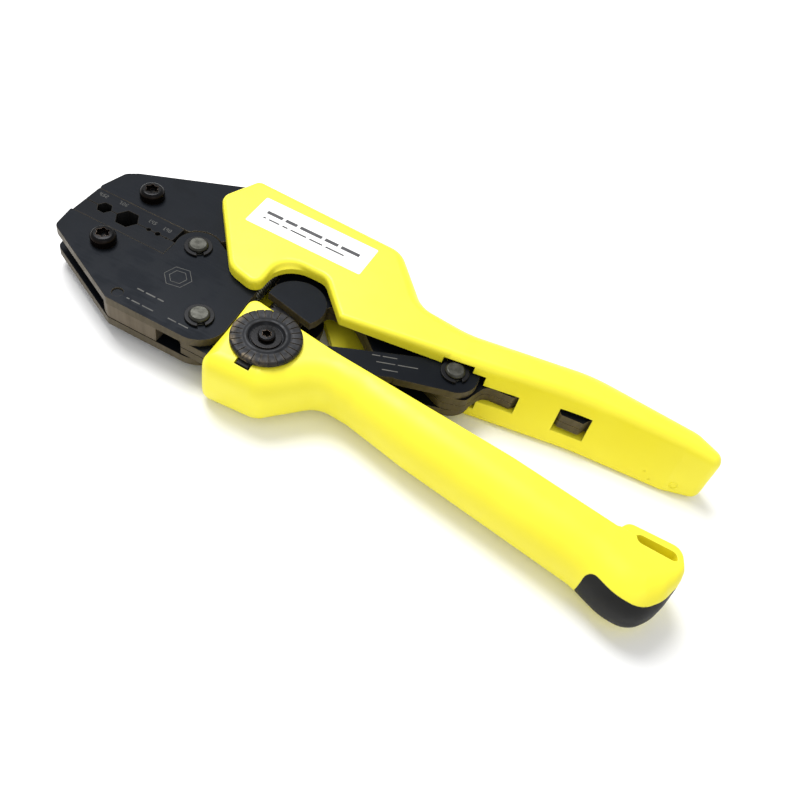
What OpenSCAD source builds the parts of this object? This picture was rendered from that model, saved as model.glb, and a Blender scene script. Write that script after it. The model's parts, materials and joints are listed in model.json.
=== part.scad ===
/* [Grips] */
// Thickness of both grips, from the resting face to the top face
grip_t = 21; // [20:0.5:24]

/* [Steel head] */
// Thickness of each outer plate of the head
plate_t = 3; // [2.5:0.1:3]
// Height of the space between the outer plates
core_t = 6; // [6:0.1:6.6]
// Sideways clearance between plates that slide on each other
slide_gap = 0.1; // [0.05:0.05:0.2]

/* [Pivots] */
// Radius of the main pivot pin
main_pin_r = 3.3; // [3:0.1:3.6]
// Radius of the toggle pin and of the link anchor pin
small_pin_r = 3.3; // [3:0.1:3.5]
// Radius of the adjuster axle
axle_r = 4; // [3.5:0.1:4.2]
// Running clearance of a moving plate on its pin
running = 0.05; // [0.02:0.01:0.08]
// Extra radius of the toggle plates' holes round the toggle pin
toggle_play = 0.9; // [0.8:0.05:1]

/* [Crimp nests] */
// Width across flats of the large hexagonal nest
big_hex = 7.06; // [6.5:0.02:7.5]
// Width across flats of the small hexagonal nest
small_hex = 4.52; // [4:0.02:5.5]
// Gap left between the two dies when the jaws are shut
die_gap = 0.2; // [0.1:0.05:0.4]

/* [Adjuster] */
// Radius of the adjuster wheel
wheel_r = 11; // [10:0.1:11.5]
// Thickness of the adjuster wheel
wheel_t = 2.2; // [2:0.1:2.6]
// Number of ribs on the adjuster wheel
wheel_ribs = 26; // [20:1:30]

/* [Ratchet] */
// Outer radius of the ratchet teeth, from the adjuster axle
ratchet_r = 13.2; // [12.8:0.1:13.3]
// Number of ratchet teeth
ratchet_teeth = 9; // [6:1:10]

/* [Hidden] */
$fn = 48;
ARC_STEPS = 6;
EPS = 0.01;
FAR = 60;

// Colours
BLACK_OXIDE = [0.10, 0.10, 0.12];
BARE_EDGE = [0.42, 0.39, 0.34];
YELLOW = [0.97, 0.95, 0.16];
SOFT_BLACK = [0.09, 0.09, 0.09];
PIN_STEEL = [0.36, 0.36, 0.34];
PAPER = [0.96, 0.96, 0.95];

// Pivot centres in plan, measured from the main pivot
main_pivot = [0, 0];
toggle_pivot = [17.5, -25.3];
axle_centre = [41, -25.2];
anchor = [94, 0.5];
pawl_pivot = [38.5, -3];
cheek_rivet_at = [39, 4.2];
frame_post = [24, 26.4];
jaw_post = [22.9, -7];

// Levels along Z
mid_z = grip_t / 2;
head_top = mid_z + core_t / 2 + plate_t;
head_bottom = mid_z - core_t / 2 - plate_t;
core_plate_t = core_t / 2 - 2 * slide_gap;
pocket_h = 2 * plate_t + core_t + 0.6;
tail_pocket_h = core_t - 2 * slide_gap + 0.6;
window_h = 8.5;
pin_relief_h = pocket_h + 4.4;
wheel_z = grip_t + 0.15;
head_h = head_top - head_bottom;
tongue_t = core_t - 2 * slide_gap;
cap_h = 13;
lug_top = grip_t - 2.6;

// Plan limits of the whole tool
jaw_front = -43.2;
grip_end = 179.5;
grip_back = 38;
cap_front = -48.2;
origin_x = (jaw_front + grip_end) / 2;
origin_y = (grip_back + cap_front) / 2;

// Jaws
split_y = -2.5;
upper_die_h = 6.9;
lower_die_h = 6.5;
die_left = -42.5;
upper_die_right = -8.6;
lower_die_right = -7.3;
big_hex_x = -26.1;
small_hex_x = -35;
wire_nests = [[-17.6, 0.75], [-14.1, 0.9], [-10.8, 0.35]];
upper_screw_at = [-26.3, 11.6];
lower_screw_at = [-25.6, -15.2];
boss_r = 7.6;
boss_gap = 0.4;
screw_head_r = 4.2;
screw_head_h = 3.5;
screw_shank_r = 2;

// Pins, clips and rivets
pin_overhang = 2;
groove = 0.8;
clip_t = 0.8;
clip_r = 4.6;
clip_mouth = 1.1;
fit = 0.02;
rivet_r = 2;
rivet_places = [[11, 22], [60, 17], [121, 13.6], [156, 15.4]];
toggle_rivet_r = 1.8;
toggle_rivet_places = [[66, -22.6], [110, -26.6]];
cheek_rivet_r = 1.6;
pawl_pin_r = 1.8;
post_r = 1.5;
dowel_r = 1.8;
dowel_at = [-8.3, -31];
blind_cover = 1;
wheel_screw_r = 1.5;

// Removes the height value of a control point
function xy(p) = [p[0], p[1]];

// Arc that replaces the corner b between a and c, with radius r
function corner_arc(a, b, c, r) =
    let (
        to_a = (a - b) / norm(a - b),
        to_c = (c - b) / norm(c - b),
        half = acos(to_a * to_c) / 2,
        reach = r / tan(half),
        centre = b + (to_a + to_c) / norm(to_a + to_c) * r / sin(half),
        first = b + to_a * reach - centre,
        last = b + to_c * reach - centre,
        turn = atan2(cross(first, last), first * last),
        start = atan2(first[1], first[0])
    )
    [
        for (i = [0 : ARC_STEPS])
            let (a = start + turn * i / ARC_STEPS)
                centre + r * [cos(a), sin(a)]
    ];

// Outline through control points [x, y, corner radius]
function rounded(p) = [
    for (i = [0 : len(p) - 1])
        let (before = xy(p[(i + len(p) - 1) % len(p)]), here = xy(p[i]), after = xy(p[(i + 1) % len(p)]))
            each (p[i][2] == 0 ? [here] : corner_arc(before, here, after, p[i][2]))
];

// Moves a piece from pivot coordinates to the tool's own origin
module seat() {
    translate([-origin_x, -origin_y, 0]) children();
}

// Flat plate of thickness t with its lower face at z
module slab(z, t) {
    translate([0, 0, z]) linear_extrude(t) children();
}

module disc_at(p, r) {
    translate(p) circle(r);
}

module drill(p, r) {
    translate([p[0], p[1], -FAR / 2]) cylinder(h = FAR, r = r);
}

// Round pin across the head; cover is the plate thickness left over each end
module cross_pin(p, r, cover) {
    translate([p[0], p[1], head_bottom + cover]) cylinder(h = head_h - 2 * cover, r = r);
}

// Straight bar of half width w from a to b
module bar(a, b, w) {
    along = (b - a) / norm(b - a);
    side = [-along[1], along[0]] * w;
    polygon([a + side, a - side, b - side, b + side]);
}

// ---------- outlines ----------

module upper_cheek_outline() {
    difference() {
        polygon(rounded([
            [-42.3, split_y + upper_die_h + 0.1, 0.3], [2, split_y + upper_die_h + 0.1, 0], [6.5, 9, 3],
            [28, 12, 3], [27.6, 31, 3], [8, 36, 2], [-3.4, 36.2, 2], [-37, 18.8, 3], [-40.4, 16, 3],
            [-42.8, 6, 0.6]
        ]));
        circle(boss_r + boss_gap);
    }
}

module frame_outline() {
    difference() {
        union() {
            polygon(rounded([
                [-13.6, 18.3, 0], [-13.6, 4.9, 0], [0, 4.9, 0], [20.6, 3.6, 0],
                 [27.6, 3.6, 1.5], [31, 1.2, 1],
                [46, 1.2, 1], [47.5, 5.4, 2], [57, 5.4, 3], [62.4, 1.2, 6], [70, -6.2, 2], [76, -3.4, 4],
                [84, -3.4, 4], [94, -7.8, 5], [101, -5.4, 3], [104.6, 4, 4], [113.8, 4.7, 0.8],
                [115, 6.4, 0.5], [127.6, 9.6, 1], [129.4, 7.2, 0.8], [136.8, 7.8, 0.8], [138.4, 10.6, 0.6],
                [158, 12.2, 6], [170.6, 14, 1.5], [166, 18.2, 2], [134, 20, 20],
                 [104, 14.2, 20], [80, 12.4, 12],
                [67, 14, 6], [47, 33, 6], [12, 33.6, 3], [-3.6, 34.6, 2], [-34.2, 18.3, 0.5]
            ]));
            circle(7);
        }
        // slot for the opening spring
        translate([20.6, -2]) square([6.8, 31.4]);
    }
}

module lower_jaw_outline() {
    union() {
        polygon(rounded([
            [jaw_front, split_y - lower_die_h - 0.1, 0.5], [-42, -18.4, 3.2], [-9.9, -34.8, 2.5],
            [17.5, -34.8, 0], [27, -25.3, 0], [25.9, -5.4, 1.6], [4.5, 6.1, 0], [-7.2, 0, 0],
            [-7.2, split_y - lower_die_h - 0.1, 0]
        ]));
        circle(boss_r);
        disc_at(toggle_pivot, 9.5);
    }
}

module link_outline() {
    bar(axle_centre, anchor, 4.9);
    disc_at(axle_centre, 8.8);
    disc_at(anchor, 8);
    polygon([[79, -12.6], [95, -7.4], [92, 7], [86.4, 1.2], [70, -5.8]]);
}

module toggle_outline() {
    bar(toggle_pivot, axle_centre, 6.8);
    disc_at(toggle_pivot, 6.8);
    disc_at(axle_centre, 9.2);
    polygon([[16.8, -34.4], [41, -34.4], [41, -18], [16.8, -28]]);
    polygon(rounded([
        [41, -34.4, 0], [49.5, -32.6, 4], [62, -24.6, 8], [84, -27.2, 0], [117, -30.4, 3], [118, -24, 3],
        [84, -20.9, 0], [60, -19, 20], [41, -17, 0]
    ]));
}

module fixed_grip_outline() {
    polygon(rounded([
        [-0.4, grip_back, 3], [-5.8, 22.6, 5], [14.8, -4.4, 9], [26.9, -7.6, 3.4], [26.2, 9.5, 10],
        [42.6, 9.5, 5], [54.4, -3.2, 0.8], [93, 0.8, 150], [136, 8.4, 90], [168, 10.6, 10],
        [grip_end, 11.2, 3.2], [grip_end, 16.8, 3.6], [170, 22.2, 9], [133, 25.7, 50], [92, 18, 30],
        [74.2, 18.4, 10], [57.4, 37.2, 9]
    ]));
}

module moving_grip_outline() {
    polygon(rounded([
        [28.1, -12, 2.6], [60, -16.8, 90], [122, -22.2, 120], [156.6, -27.2, 1], [159.4, -22.8, 3],
        [175.6, -22.6, 4], [178.6, -31, 6], [176, -41.2, 8], [171, cap_front, 5],
        [162, cap_front + 0.4, 8], [152, -43.6, 16], [93, -34, 60], [72, -29.2, 12], [62.4, -28.2, 8],
        [48.4, -42, 8], [28.1, -42, 3.4]
    ]));
}

// ---------- standard small pieces ----------

// Pivot pin with chamfered ends and a groove for a clip at each end
module grooved_pin(p, r) {
    half = head_h / 2 + pin_overhang;
    clip_z = half - pin_overhang + 0.1;
    chamfer = 0.6;
    translate([p[0], p[1], mid_z])
        rotate_extrude()
            polygon([
                [0, -half], [r - chamfer, -half], [r, -half + chamfer], [r, -clip_z - clip_t - 0.1],
                [r - groove, -clip_z - clip_t - 0.1], [r - groove, -clip_z], [r, -clip_z],
                [r, clip_z], [r - groove, clip_z], [r - groove, clip_z + clip_t + 0.1],
                [r, clip_z + clip_t + 0.1], [r, half - chamfer], [r - chamfer, half], [0, half]
            ]);
}

// The two E-clips of one pin
module clips(p, r) {
    for (z = [head_top + 0.1, head_bottom - 0.1 - clip_t])
        translate([p[0], p[1], z])
            difference() {
                cylinder(h = clip_t, r = clip_r);
                translate([0, 0, -1]) cylinder(h = 3, r = r - groove + 0.03);
                rotate(-48) translate([0, -clip_mouth, -1]) cube([clip_r + 1, 2 * clip_mouth, 3]);
            }
}

// Pan head screw with a six-lobe recess, its shank reaching down through the head
module pan_screw(p, seat_z, top_r, top_h, shank_r, shank_l) {
    dome = top_h / 2;
    recess = 1.6;
    translate([p[0], p[1], seat_z])
        difference() {
            union() {
                translate([0, 0, -shank_l]) cylinder(h = shank_l + EPS, r = shank_r);
                rotate_extrude()
                    polygon([
                        [0, 0], [top_r, 0], [top_r, top_h - dome],
                        for (a = [15 : 15 : 75]) [top_r - dome + dome * cos(a), top_h - dome + dome * sin(a)],
                        [0, top_h]
                    ]);
            }
            translate([0, 0, top_h - recess]) cylinder(h = 3, r = top_r * 0.42);
            for (i = [0 : 5])
                rotate(60 * i) translate([top_r * 0.42, 0, top_h - recess]) cylinder(h = 3, r = top_r * 0.13);
        }
}

// Envelope of a close-wound coil along +Y, starting at p
module coil_body(p, length, r, wire_r) {
    translate([p[0], p[1] + length, mid_z])
        rotate([90, 0, 0])
            difference() {
                cylinder(h = length, r = r);
                translate([0, 0, -1]) cylinder(h = length + 2, r = r - 2 * wire_r);
            }
}

// ---------- fixed frame and upper jaw ----------

module frame_plate(z) {
    difference() {
        slab(z, core_plate_t) frame_outline();
        drill(main_pivot, main_pin_r + fit);
        drill(anchor, small_pin_r + fit);
        drill(cheek_rivet_at, cheek_rivet_r + fit);
        for (p = rivet_places) drill(p, rivet_r + fit);
    }
}

module frame_plate_top() {
    color(BLACK_OXIDE) seat() frame_plate(mid_z + slide_gap);
}

module frame_plate_bottom() {
    color(BLACK_OXIDE) seat() frame_plate(mid_z - slide_gap - core_plate_t);
}

module upper_jaw_cheek(z) {
    difference() {
        slab(z, plate_t) upper_cheek_outline();
        drill(upper_screw_at, screw_shank_r + fit);
        drill(frame_post, post_r + fit);
        drill(rivet_places[0], rivet_r + fit);
    }
}

module upper_jaw_cheek_top() {
    color(BLACK_OXIDE) seat() upper_jaw_cheek(head_top - plate_t);
}

module upper_jaw_cheek_bottom() {
    color(BLACK_OXIDE) seat() upper_jaw_cheek(head_bottom);
}

// Nests shared by the two dies, cut on the split line
module nests() {
    translate([big_hex_x, split_y, -FAR / 2]) cylinder(h = FAR, r = big_hex / sqrt(3), $fn = 6);
    translate([small_hex_x, split_y, -FAR / 2]) cylinder(h = FAR, r = small_hex / sqrt(3), $fn = 6);
    for (nest = wire_nests) drill([nest[0], split_y], nest[1]);
}

module upper_die() {
    color(BLACK_OXIDE) seat()
        difference() {
            union() {
                translate([die_left, split_y + die_gap / 2, head_bottom])
                    cube([upper_die_right - die_left, upper_die_h - die_gap / 2, head_h]);
                slab(mid_z - tongue_t / 2, tongue_t)
                    polygon([[-41, 4], [-14, 4], [-14, 17.9], [-36.4, 17.9], [-39.6, 14.6]]);
            }
            nests();
            drill(upper_screw_at, screw_shank_r + fit);
        }
}

module upper_die_screw() {
    color(SOFT_BLACK) seat()
        pan_screw(upper_screw_at, head_top, screw_head_r, screw_head_h, screw_shank_r, head_h);
}

module main_pivot_pin() {
    color(PIN_STEEL) seat() grooved_pin(main_pivot, main_pin_r);
}

module main_pivot_clips() {
    color(SOFT_BLACK) seat() clips(main_pivot, main_pin_r);
}

// First rivet goes through the jaw cheeks, the others through the two frame plates
module frame_rivets() {
    color(PIN_STEEL) seat()
        for (i = [0 : len(rivet_places) - 1])
            translate(concat(rivet_places[i], [i == 0 ? head_bottom : mid_z - tongue_t / 2]))
                cylinder(h = i == 0 ? head_h : tongue_t, r = rivet_r);
}

module fixed_grip() {
    color(YELLOW) seat()
        difference() {
            linear_extrude(grip_t) fixed_grip_outline();
            // deep pocket that holds the jaw cheeks, the link and the pawl
            slab(mid_z - pocket_h / 2, pocket_h)
                polygon(rounded([
                    [-14, -14, 0], [103.4, -14, 0], [103.4, 15.4, 2], [69, 15.4, 8], [50.5, 34.6, 8],
                    [10, 36.6, 4], [-14, 36.6, 0]
                ]));
            // shallow pocket that holds the tails of the frame plates
            slab(mid_z - tail_pocket_h / 2, tail_pocket_h)
                polygon(rounded([
                    [100, -6, 0], [115.4, -6, 0], [115.4, 5.9, 0], [137, 10, 20], [158, 11.7, 6],
                    [172, 13.4, 1.5], [166.6, 19, 3], [134, 21, 20], [100, 15.4, 0]
                ]));
            // relief round the ends of the link anchor pin
            translate([anchor[0] - 5.2, -14, mid_z - pin_relief_h / 2]) cube([10.2, 20.4, pin_relief_h]);
            // snap window for the barb of the frame plates
            translate([128.4, -2, mid_z - window_h / 2]) cube([10.5, 16, window_h]);
        }
}

module blank_label() {
    color(PAPER) seat()
        translate([7.2, 16.5, grip_t]) linear_extrude(0.15) square([43.6, 14.2]);
}

module link_anchor_pin() {
    color(PIN_STEEL) seat() grooved_pin(anchor, small_pin_r);
}

module link_anchor_clips() {
    color(SOFT_BLACK) seat() clips(anchor, small_pin_r);
}

// ---------- ratchet pawl on the frame ----------

// Disc cut off along a chord, with blind holes for the two pins it holds
module pawl_cheek(z) {
    difference() {
        slab(z, plate_t)
            difference() {
                disc_at([38.7, -2.3], 9.7);
                polygon([[20, -1.7], [20, -20], [60, -20], [60, -11.1]]);
            }
        cross_pin(pawl_pivot, pawl_pin_r + fit, blind_cover);
        cross_pin(cheek_rivet_at, cheek_rivet_r + fit, blind_cover);
    }
}

module pawl_cheek_top() {
    color(BLACK_OXIDE) seat() pawl_cheek(head_top - plate_t);
}

module pawl_cheek_bottom() {
    color(BLACK_OXIDE) seat() pawl_cheek(head_bottom);
}

module pawl_cheek_rivet() {
    color(PIN_STEEL) seat() cross_pin(cheek_rivet_at, cheek_rivet_r, blind_cover);
}

module pawl_pin() {
    color(PIN_STEEL) seat() cross_pin(pawl_pivot, pawl_pin_r, blind_cover);
}

module ratchet_pawl() {
    pawl_t = core_t - 0.5;
    color(BARE_EDGE) seat()
        difference() {
            slab(mid_z - pawl_t / 2, pawl_t) {
                disc_at(pawl_pivot, 3.5);
                polygon([[35.4, -4.6], [37.4, -11.5], [39, -11.5], [41.4, -4.6]]);
                polygon([[35.4, -2.4], [30.4, -8.2], [31.8, -9.6], [36, -6.4]]);
            }
            drill(pawl_pivot, pawl_pin_r + running);
        }
}

module pawl_spring() {
    color(PIN_STEEL) seat() coil_body([31.8, -4.5], 5.5, 1.6, 0.35);
}

// ---------- opening spring ----------

module opening_spring() {
    wire = 0.5;
    color(PIN_STEEL) seat() {
        coil_body(jaw_post + [0.6, 2.5], 28.4, 2.4, wire);
        for (post = [jaw_post, frame_post])
            translate([post[0], post[1], mid_z])
                rotate_extrude() translate([post_r + 0.1 + wire, 0]) circle(wire, $fn = 16);
    }
}

module frame_spring_post() {
    color(PIN_STEEL) seat() cross_pin(frame_post, post_r, 0);
}

module jaw_spring_post() {
    color(PIN_STEEL) seat() cross_pin(jaw_post, post_r, blind_cover);
}

// ---------- lower jaw ----------

module lower_jaw_plate(z) {
    difference() {
        slab(z, plate_t) lower_jaw_outline();
        drill(main_pivot, main_pin_r + running);
        drill(toggle_pivot, small_pin_r + fit);
        drill(lower_screw_at, screw_shank_r + fit);
        cross_pin(jaw_post, post_r + fit, blind_cover);
        drill(dowel_at, dowel_r + fit);
    }
}

module lower_jaw_plate_top() {
    color(BLACK_OXIDE) seat() lower_jaw_plate(head_top - plate_t);
}

module lower_jaw_plate_bottom() {
    color(BLACK_OXIDE) seat() lower_jaw_plate(head_bottom);
}

module lower_die() {
    color(BLACK_OXIDE) seat()
        difference() {
            union() {
                translate([die_left, split_y - lower_die_h, head_bottom])
                    cube([lower_die_right - die_left, lower_die_h - die_gap / 2, head_h]);
                slab(mid_z - tongue_t / 2, tongue_t)
                    polygon([[-40, -8.4], [-38.4, -17], [-14, -20.6], [-14, -8.4]]);
            }
            nests();
            drill(lower_screw_at, screw_shank_r + fit);
        }
}

module lower_die_screw() {
    color(SOFT_BLACK) seat()
        pan_screw(lower_screw_at, head_top, screw_head_r, screw_head_h, screw_shank_r, head_h);
}

module jaw_spacer() {
    color(BARE_EDGE) seat()
        difference() {
            slab(mid_z - core_t / 2, core_t)
                polygon(rounded([
                    [-13.6, -32.4, 2], [-9.9, -34.6, 2.2], [8, -34.6, 0], [8, -29, 1], [-10, -27.4, 3]
                ]));
            drill(dowel_at, dowel_r + fit);
        }
}

module jaw_dowel() {
    color(PIN_STEEL) seat() cross_pin(dowel_at, dowel_r, 0.5);
}

module toggle_pin() {
    color(PIN_STEEL) seat() grooved_pin(toggle_pivot, small_pin_r);
}

module toggle_pin_clips() {
    color(SOFT_BLACK) seat() clips(toggle_pivot, small_pin_r);
}

// ---------- link ----------

module link_plate(z) {
    difference() {
        slab(z, plate_t) link_outline();
        drill(axle_centre, axle_r + running);
        drill(anchor, small_pin_r + running);
    }
}

module link_plate_top() {
    color(BLACK_OXIDE) seat() link_plate(head_top - plate_t);
}

module link_plate_bottom() {
    color(BLACK_OXIDE) seat() link_plate(head_bottom);
}

// ---------- moving handle ----------

module toggle_plate(z) {
    difference() {
        slab(z, core_plate_t) toggle_outline();
        drill(toggle_pivot, small_pin_r + toggle_play);
        drill(axle_centre, axle_r + running);
        for (p = toggle_rivet_places) drill(p, toggle_rivet_r + fit);
    }
}

module toggle_plate_top() {
    color(BLACK_OXIDE) seat() toggle_plate(mid_z + slide_gap);
}

module toggle_plate_bottom() {
    color(BLACK_OXIDE) seat() toggle_plate(mid_z - slide_gap - core_plate_t);
}

module toggle_rivets() {
    color(PIN_STEEL) seat()
        for (p = toggle_rivet_places)
            translate(concat(p, [mid_z - tongue_t / 2])) cylinder(h = tongue_t, r = toggle_rivet_r);
}

// Toothed sector that sits on the toggle plates' boss
module ratchet_segment() {
    segment_t = core_t - 0.5;
    tooth = 1;
    first = 66;
    pitch = 7;
    last = first + pitch * ratchet_teeth;
    color(BARE_EDGE) seat()
        translate([axle_centre[0], axle_centre[1], mid_z - segment_t / 2])
            linear_extrude(segment_t)
                difference() {
                    polygon([
                        for (i = [0 : ratchet_teeth - 1], part = [0, 1])
                            let (a = first + pitch * (i + part * 0.9), r = ratchet_r - tooth * part)
                                r * [cos(a), sin(a)],
                        for (a = [last : -pitch : first]) 8 * [cos(a), sin(a)]
                    ]);
                    translate(-axle_centre) toggle_outline();
                }
}

module moving_grip() {
    color(YELLOW) seat()
        difference() {
            linear_extrude(grip_t) moving_grip_outline();
            // deep pocket for the link and the toggle plates, open towards the fixed handle
            slab(mid_z - pocket_h / 2, pocket_h)
                polygon(rounded([
                    [31, -6, 0], [31, -38.6, 3], [46.6, -38.6, 6], [60, -25.6, 6], [74, -26.6, 10],
                    [92, -30, 2], [92, -6, 0]
                ]));
            // shallow pocket for the tail of the toggle plates and the mouth at the front
            slab(mid_z - tail_pocket_h / 2, tail_pocket_h) {
                polygon(rounded([[90, -29, 0], [118, -31, 3], [119, -23.6, 3], [90, -20.7, 0]]));
                translate([24, -36.4]) square([8, 30]);
            }
            drill(axle_centre, axle_r + running);
            translate([axle_centre[0], axle_centre[1], -1]) cylinder(h = 3.6, r = 6.9);
            // seat of the wheel lock block
            translate([37, -37.8, grip_t - 2.4]) cube([5.4, 5, 4]);
            // hanging slot
            translate([0, 0, -1])
                linear_extrude(grip_t + 2)
                    polygon(rounded([
                        [162, -29.4, 2.2], [175.2, -29.9, 2.2], [175.2, -24.9, 2.2], [162, -24.8, 2.2]
                    ]));
            // the hanging lug is lower than the grip
            slab(lug_top, grip_t)
                polygon([
                    [150, -18], [156.7, -27.2], [162.4, -27.9], [175, -28.4], [179, -31.2], [186, -31.2],
                    [186, -18]
                ]);
            // seat of the end cap
            slab(mid_z - cap_h / 2, cap_h) cap_region();
        }
}

// Band of the grip's outer corner that the end cap fills
module cap_region() {
    polygon(rounded([
        [153.6, -52, 0], [153.6, -38.8, 2], [159, -38.8, 4], [167, -41.6, 4], [172.4, -38, 5],
        [174.4, -33, 0], [186, -33, 0], [186, -52, 0]
    ]));
}

module grip_end_cap() {
    color(SOFT_BLACK) seat()
        intersection() {
            slab(mid_z - cap_h / 2, cap_h) moving_grip_outline();
            slab(mid_z - cap_h / 2, cap_h) cap_region();
        }
}

module wheel_lock_block() {
    color(SOFT_BLACK) seat()
        translate([38.2, -37.3, grip_t - 2.4]) cube([4, 4.2, 2.2]);
}

// ---------- adjuster ----------

module adjuster_axle() {
    color(PIN_STEEL) seat()
        translate([axle_centre[0], axle_centre[1], 0])
            difference() {
                union() {
                    translate([0, 0, 0.6]) cylinder(h = 1.8, r = 6.5);
                    translate([0, 0, 0.6]) cylinder(h = wheel_z - 0.6, r = axle_r);
                }
                translate([0, 0, wheel_z - 8]) cylinder(h = 10, r = wheel_screw_r + fit);
                translate([0, 0, -1]) cylinder(h = 2.8, r = 2.5, $fn = 6);
            }
}

module adjuster_wheel() {
    color(SOFT_BLACK) seat()
        translate([axle_centre[0], axle_centre[1], wheel_z])
            difference() {
                union() {
                    cylinder(h = wheel_t - 0.3, r = wheel_r);
                    cylinder(h = wheel_t, r = wheel_r - 0.3);
                }
                translate([0, 0, wheel_t - 1.2]) cylinder(h = 3, r = 5.4);
                translate([0, 0, -1]) cylinder(h = 5, r = wheel_screw_r + fit);
                for (i = [0 : wheel_ribs - 1])
                    rotate(i * 360 / wheel_ribs) translate([7, -0.25, wheel_t - 0.35]) cube([3, 0.5, 1]);
            }
}

module wheel_washer() {
    color(BLACK_OXIDE) seat()
        translate([axle_centre[0], axle_centre[1], wheel_z + wheel_t - 1.2])
            difference() {
                cylinder(h = 0.5, r = 4.7);
                translate([0, 0, -1]) cylinder(h = 3, r = wheel_screw_r + fit);
            }
}

module wheel_screw() {
    color(SOFT_BLACK) seat()
        pan_screw(axle_centre, wheel_z + wheel_t - 0.7, 2.7, 1.4, wheel_screw_r, 7);
}

frame_plate_top();
frame_plate_bottom();
upper_jaw_cheek_top();
upper_jaw_cheek_bottom();
upper_die();
upper_die_screw();
main_pivot_pin();
main_pivot_clips();
frame_rivets();
fixed_grip();
blank_label();
link_anchor_pin();
link_anchor_clips();
pawl_cheek_top();
pawl_cheek_bottom();
pawl_cheek_rivet();
pawl_pin();
ratchet_pawl();
pawl_spring();
opening_spring();
frame_spring_post();
jaw_spring_post();
lower_jaw_plate_top();
lower_jaw_plate_bottom();
lower_die();
lower_die_screw();
jaw_spacer();
jaw_dowel();
toggle_pin();
toggle_pin_clips();
link_plate_top();
link_plate_bottom();
toggle_plate_top();
toggle_plate_bottom();
toggle_rivets();
ratchet_segment();
moving_grip();
grip_end_cap();
wheel_lock_block();
adjuster_axle();
adjuster_wheel();
wheel_washer();
wheel_screw();
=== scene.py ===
"""Crimping tool: moulded grips, finishes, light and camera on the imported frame."""
import json
import math
import bpy
import bmesh
from mathutils import Matrix, Vector


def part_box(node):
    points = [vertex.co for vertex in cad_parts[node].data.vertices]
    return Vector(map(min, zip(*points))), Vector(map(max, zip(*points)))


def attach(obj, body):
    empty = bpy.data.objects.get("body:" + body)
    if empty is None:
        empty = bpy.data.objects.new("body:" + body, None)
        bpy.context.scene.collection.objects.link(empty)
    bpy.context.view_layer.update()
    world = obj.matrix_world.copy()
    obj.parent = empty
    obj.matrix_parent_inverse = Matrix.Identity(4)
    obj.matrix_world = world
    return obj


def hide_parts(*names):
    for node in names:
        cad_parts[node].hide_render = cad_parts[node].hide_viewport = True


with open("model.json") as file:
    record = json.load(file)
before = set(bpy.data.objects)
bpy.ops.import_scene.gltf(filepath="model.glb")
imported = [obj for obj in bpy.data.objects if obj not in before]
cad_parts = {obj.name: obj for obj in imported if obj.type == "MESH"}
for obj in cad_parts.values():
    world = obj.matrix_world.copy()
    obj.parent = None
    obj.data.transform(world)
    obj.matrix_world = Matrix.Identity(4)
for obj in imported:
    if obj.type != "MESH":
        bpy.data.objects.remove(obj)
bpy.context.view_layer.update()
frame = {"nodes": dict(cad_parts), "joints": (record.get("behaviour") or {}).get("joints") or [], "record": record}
NODES = frame["nodes"]
JOINTS = {joint["name"]: joint for joint in frame["joints"]}
MM = 0.001

PIVOT = Vector(JOINTS["jaw_swing"]["pos_m"])
AXLE = Vector(JOINTS["handle_swing"]["pos_m"])
MID_Z = PIVOT.z
GRIP_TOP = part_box("fixed_grip")[1].z
HALF_GRIP = GRIP_TOP - MID_Z
HEAD_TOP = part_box("lower_jaw_plate_top")[1].z
POCKET_HALF = 6.3 * MM
TAIL_POCKET_HALF = 3.2 * MM
WINDOW_HALF = 4.25 * MM
WELD_GAP = 0.001 * MM
EDGE_CHAMFER = 0.18 * MM
PIN_RELIEF_HALF = POCKET_HALF + 2.2 * MM
AXLE_BORE = 4.05 * MM
FLANGE_BORE = 6.9 * MM
FLANGE_DEPTH = 2.6 * MM

# In millimetres: the end cap's edge round, the gaps round the lock block, the least and greatest depth of a
# rounded rim, half the length left of a side that has shrunk away, the smallest radius of an inset corner,
# and the share of a side that a corner's arc may take.
CAP_EDGE_ROUND = 3
SEAT_GAP = 0.5
SEAT_GAP_INNER = 0.3
RIM_DROPS = (0.9, 9.6)
SIDE_STUB = 0.02
SMALLEST_RADIUS = 0.3
SIDE_SHARE = 0.49

# Corners of the grips at mid height: x and y from the main pivot, corner radius, reach of the rounded
# rim, and how far the side leans in from bottom to top.
FIXED_GRIP = [
    (-0.4, 38, 3, 2.6, 0), (-5.8, 22.6, 5, 1.6, 0), (14.8, -4.4, 9, 1.6, 0), (26.9, -7.6, 3.4, 1.7, 0),
    (26.2, 9.5, 10, 1.7, 0), (42.6, 9.5, 5, 1.7, 0), (54.4, -3.2, 0.8, 1.4, 0), (93, 0.8, 150, 2.4, 5),
    (136, 8.4, 90, 3, 6.4), (168, 10.4, 10, 2.4, 5), (179.5, 11.2, 3.4, 3.4, 0.6), (179.5, 16.6, 3.8, 4.6, 0),
    (170.5, 22.2, 12, 6.4, 0), (133, 25.7, 50, 7.5, 0), (92, 18, 30, 7, 0), (74.2, 18.4, 10, 5, 0),
    (57.4, 37.2, 9, 4, 0),
]
MOVING_GRIP = [
    (28.1, -42, 3.4, 5), (48.4, -42, 8, 8), (62.4, -28.2, 8, 9), (72, -29.2, 12, 10), (93, -34, 60, 11),
    (152, -43.6, 20, 11), (162, -47.8, 19, 10.5), (171, -48.2, 9, 10), (176, -41.2, 14, 8),
    (178.6, -31, 10, 2.5), (175.6, -22.6, 4, 1.4), (159.4, -22.8, 3, 1.2), (156.6, -27.2, 1, 0.9),
    (122, -22.2, 120, 0.9), (60, -16.8, 90, 0.9), (28.1, -12, 2.6, 0.9),
]
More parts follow.
